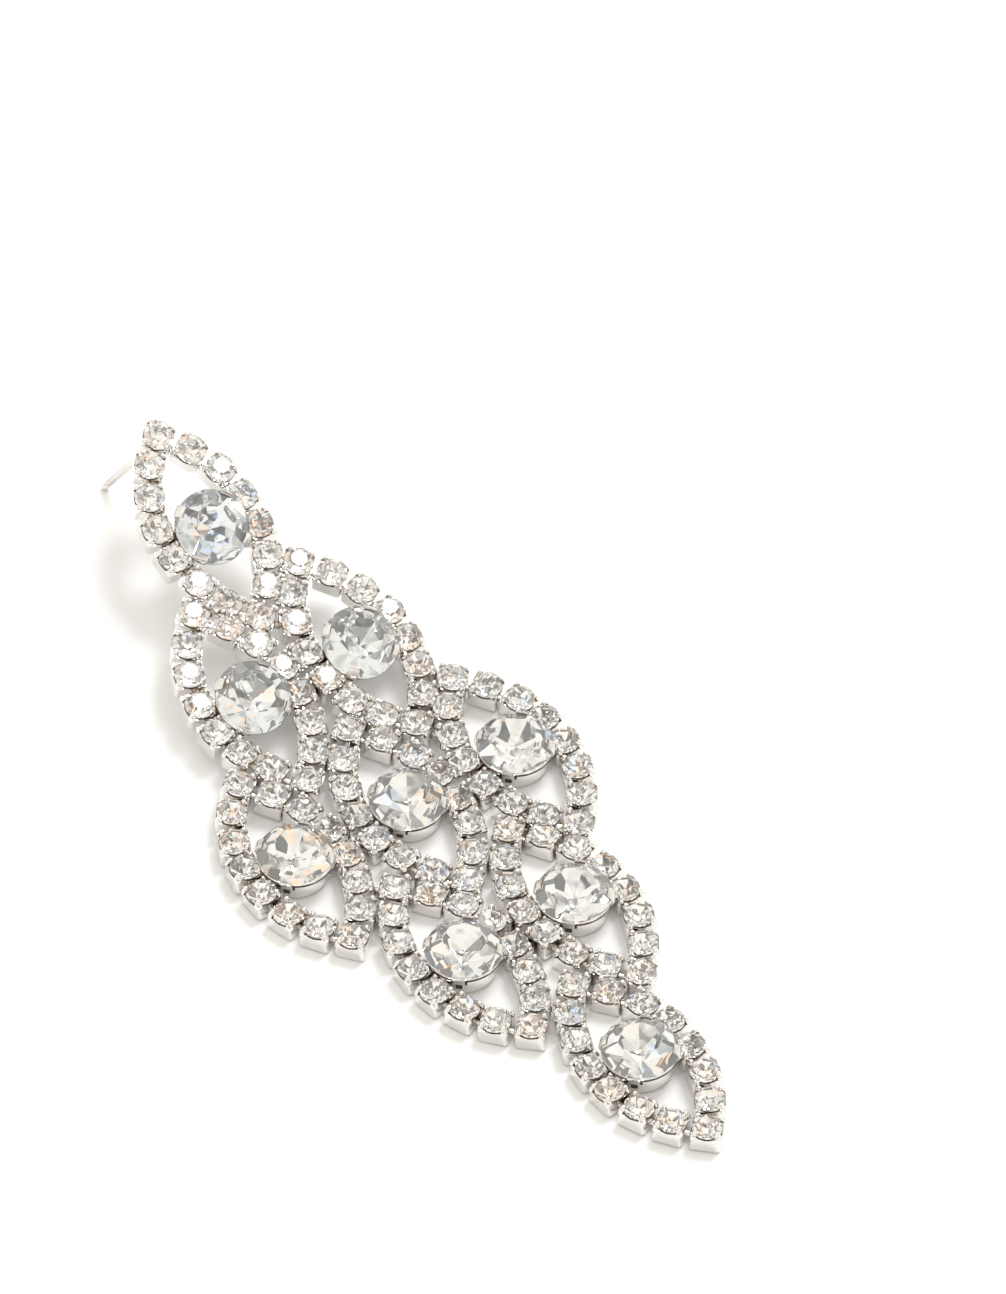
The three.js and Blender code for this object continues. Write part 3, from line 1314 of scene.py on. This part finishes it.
@dataclass(frozen=True)
class LeafWork:
    """Everything that belongs to one leaf."""

    leaf: Leaf
    loop: LeafLoop
    bend: Bend
    palette: Palette
    setting: RoundSetting
    large_stone: CutStone
    cup: SquareCup = SquareCup()
    link: ChainLink = ChainLink()
    small_stone: CutStone = SMALL_STONE
    largest_lean: float = math.radians(3)
    cup_sharp_angle: float = math.radians(44)
    hinge_height: float = Solder.tab_middle

    def build(self) -> None:
        """Builds the leaf's pieces one after another."""
        self.build_cups()
        self.build_small_stones()
        self.build_setting()
        self.build_large_stone()

    def hand_set(self, spot: Spot) -> Matrix:
        """Where a cup sits once it is bent and soldered by hand: its place, with a slight lean.

        Args:
            spot: the cup's place.

        Returns:
            The cup's matrix.
        """
        chance = random.Random(f"lean {spot}")
        angles = [chance.uniform(-self.largest_lean, self.largest_lean) for _ in "XYZ"]
        leans = [Matrix.Rotation(angle, 4, axis) for angle, axis in zip(angles, "XYZ")]
        lift = self.cup.side / 2 * (math.sin(abs(angles[0])) + math.sin(abs(angles[1])))
        return self.bend.place(spot) @ Matrix.Translation((0, 0, lift)) @ leans[0] @ leans[1] @ leans[2]

    def small_stone_turn(self, spot: Spot) -> Matrix:
        """How the facets of a small stone are turned in its cup."""
        return Matrix.Rotation(random.Random(f"turn {spot}").uniform(0, math.tau), 4, "Z")

    def build_cups(self) -> None:
        """Builds the leaf's cups and links as one piece."""
        finishes = (self.palette.plating, self.palette.lacquer)
        name = f"{self.leaf.name}_cups"
        piece = Piece(name, METAL_SLOT, (LATTICE_NODE,), finishes, sharp_angle=self.cup_sharp_angle)
        spots = self.loop.spots(self.leaf)
        template = self.cup.template()
        lacquer = self.small_stone.lacquer_template()
        for spot in spots:
            place = self.hand_set(spot)
            stamp(piece.shape, template, place)
            stamp(piece.shape, lacquer, place @ self.small_stone_turn(spot))
        for a, b in zip(spots, spots[1:] + spots[:1]):
            link = self.link.template(a.distance_to(b) - self.cup.side)
            stamp(piece.shape, link, self.bend.place(a.midway_to(b)))
        piece.finish()

    def build_small_stones(self) -> None:
        """Builds the leaf's small stones as one piece, each turned its own way."""
        finishes = (self.palette.small_crystal, self.palette.small_backing)
        name = f"{self.leaf.name}_small_stones"
        piece = Piece(name, CRYSTAL_SLOT, (LATTICE_NODE,), finishes, Shading.FACETED)
        template = self.small_stone.template()
        for spot in self.loop.spots(self.leaf):
            stamp(piece.shape, template, self.hand_set(spot) @ self.small_stone_turn(spot))
        piece.finish()

    def setting_place(self) -> Matrix:
        """Where the large cup sits: it leans on the line through its two solder tabs."""
        hinge = Matrix.Translation((0, 0, self.hinge_height))
        lean = Matrix.Rotation(math.radians(self.leaf.stone_lean_deg), 4, "X")
        return self.bend.place(self.leaf.spot) @ hinge @ lean @ hinge.inverted()

    def large_stone_place(self) -> Matrix:
        """Where the large stone sits, with its facets turned."""
        return self.setting_place() @ Matrix.Rotation(math.radians(self.leaf.facet_turn_deg), 4, "Z")

    def build_setting(self) -> None:
        """Builds the leaf's large cup, and the lacquer on its stone's back."""
        finishes = (self.palette.plating, self.palette.lacquer, self.palette.bent_plating)
        piece = Piece(f"{self.leaf.name}_setting", METAL_SLOT, (LATTICE_NODE,), finishes)
        stamp(piece.shape, self.setting.template(), self.setting_place())
        stamp(piece.shape, self.large_stone.lacquer_template(), self.large_stone_place())
        piece.finish()

    def build_large_stone(self) -> None:
        """Builds the leaf's large stone."""
        finishes = (self.palette.crystal, self.palette.backing)
        name = f"{self.leaf.name}_large_stone"
        piece = Piece(name, CRYSTAL_SLOT, (self.leaf.stone_node,), finishes, Shading.FACETED)
        stamp(piece.shape, self.large_stone.template(), self.large_stone_place())
        piece.finish()


# ---------- studio and camera ----------


@dataclass(frozen=True)
class Studio:
    """A white table in a folded white tent, one broad light high on the right, and the tent's dim opening.

    The camera stands in the opening, aims at a point given by its distance to the right of and above the
    lattice's middle, and sees a view of the given height there. Distances to it are in millimetres.
    """

    azimuth: float = math.radians(-33.52)
    elevation: float = math.radians(50.19)
    distance: float = 2000.0
    view_height: float = 136.620387
    sensor: float = 36.0
    aim_right: float = 10.083
    aim_up: float = 18.064
    clip: Pair = (0.1, 20.0)
    floor_side: float = 6.0
    lamp_position: Triple = (0.74, 0.27, 1.17)
    lamp_side: float = 0.5
    lamp_power: float = 11.5
    tent_colour: Triple = (1.0, 0.968, 0.91)
    sky_reach: Pair = (-0.2, 1.0)
    sky_tones: Pair = (0.9, 1.04)
    fold_scale: float = 3.2
    fold_reach: Pair = (0.38, 0.52)
    fold_tones: Pair = (0.33, 1.27)
    opening_reach: Pair = (0.976, 0.991)
    opening_tones: Pair = (1.0, 0.7)
    gamma: float = 1.15

    @property
    def back(self) -> Vector:
        """The direction from the earring to the camera."""
        level = math.cos(self.elevation)
        across = math.sin(self.azimuth) * level
        return Vector((across, -math.cos(self.azimuth) * level, math.sin(self.elevation)))

    def add_camera(self, bend: Bend) -> None:
        """Adds the camera.

        Args:
            bend: the lattice's curve, whose origin the camera is aimed from.
        """
        right = Vector((math.cos(self.azimuth), math.sin(self.azimuth), 0))
        up = self.back.cross(right)
        aim = bend.origin + right * self.aim_right + up * self.aim_up
        data = bpy.data.cameras.new("camera")
        data.sensor_width = self.sensor
        data.lens = self.distance * self.sensor / self.view_height
        data.clip_start, data.clip_end = self.clip
        camera = bpy.data.objects.new("camera", data)
        camera.location = (aim + self.back * self.distance) * MM
        camera.rotation_mode = "QUATERNION"
        camera.rotation_quaternion = (-self.back).to_track_quat("-Z", "Y")
        bpy.context.scene.collection.objects.link(camera)
        bpy.context.scene.camera = camera

    def add_floor(self) -> None:
        """Adds the table."""
        shape = bmesh.new()
        bmesh.ops.create_grid(shape, x_segments=1, y_segments=1, size=self.floor_side / 2)
        mesh = bpy.data.meshes.new("table")
        shape.to_mesh(mesh)
        shape.free()
        mesh.materials.append(WhiteTable().material())
        table = bpy.data.objects.new("table", mesh)
        bpy.context.scene.collection.objects.link(table)

    def add_lamp(self) -> None:
        """Adds the broad, square lamp, which faces the earring."""
        position = Vector(self.lamp_position)
        data = bpy.data.lights.new("overhead", "AREA")
        data.shape = "SQUARE"
        data.size = self.lamp_side
        data.energy = self.lamp_power
        lamp = bpy.data.objects.new("overhead", data)
        lamp.location = position
        lamp.rotation_mode = "QUATERNION"
        lamp.rotation_quaternion = (-position).to_track_quat("-Z", "Y")
        bpy.context.scene.collection.objects.link(lamp)

    def add_tent(self) -> None:
        """Adds the tent: white folds all round, brighter overhead and dimmer at the opening."""
        world = bpy.data.worlds.new("tent")
        world.use_nodes = True
        bpy.context.scene.world = world
        bench = NodeBench(world.node_tree)
        direction = bench.add("ShaderNodeTexCoord", {}).outputs["Generated"]
        height = bench.add("ShaderNodeSeparateXYZ", {0: direction}).outputs["Z"]
        sky = bench.spread(height, self.sky_reach, self.sky_tones)
        folds = bench.spread(bench.noise(direction, self.fold_scale, 1.0), self.fold_reach, self.fold_tones)
        ways = {0: direction, 1: tuple(self.back)}
        facing = bench.add("ShaderNodeVectorMath", ways, operation="DOT_PRODUCT").outputs["Value"]
        opening = bench.spread(facing, self.opening_reach, self.opening_tones)
        strength = bench.math("MULTIPLY", bench.math("MULTIPLY", sky, folds), opening)
        light = {"Color": rgba(self.tent_colour), "Strength": strength}
        bench.fill(world.node_tree.nodes["Background"], light)

    def build(self) -> None:
        """Adds table, tent and lamp, and sets plain colours for the picture."""
        self.add_floor()
        self.add_tent()
        self.add_lamp()
        settings = bpy.context.scene.view_settings
        settings.view_transform = "Standard"
        settings.exposure = 0.0
        settings.gamma = self.gamma


def main() -> None:
    """Builds the earring from its leaves to its post."""
    logging.basicConfig(level=logging.INFO, format="%(name)s: %(message)s")
    bend = Bend.from_frame(LEAVES[-1])
    studio = Studio()
    studio.add_camera(bend)
    studio.build()
    palette = Palette.mixed()
    loop = LeafLoop()
    setting = RoundSetting()
    for leaf in LEAVES:
        large_stone = DEEP_STONE if leaf.stone_lean_deg else SHALLOW_STONE
        LeafWork(leaf, loop, bend, palette, setting, large_stone).build()
    Solder().build(loop, bend, setting, palette)
    EarPost().build(bend, loop.spots(LEAVES[0])[0], palette)


if __name__ == "__main__":
    main()
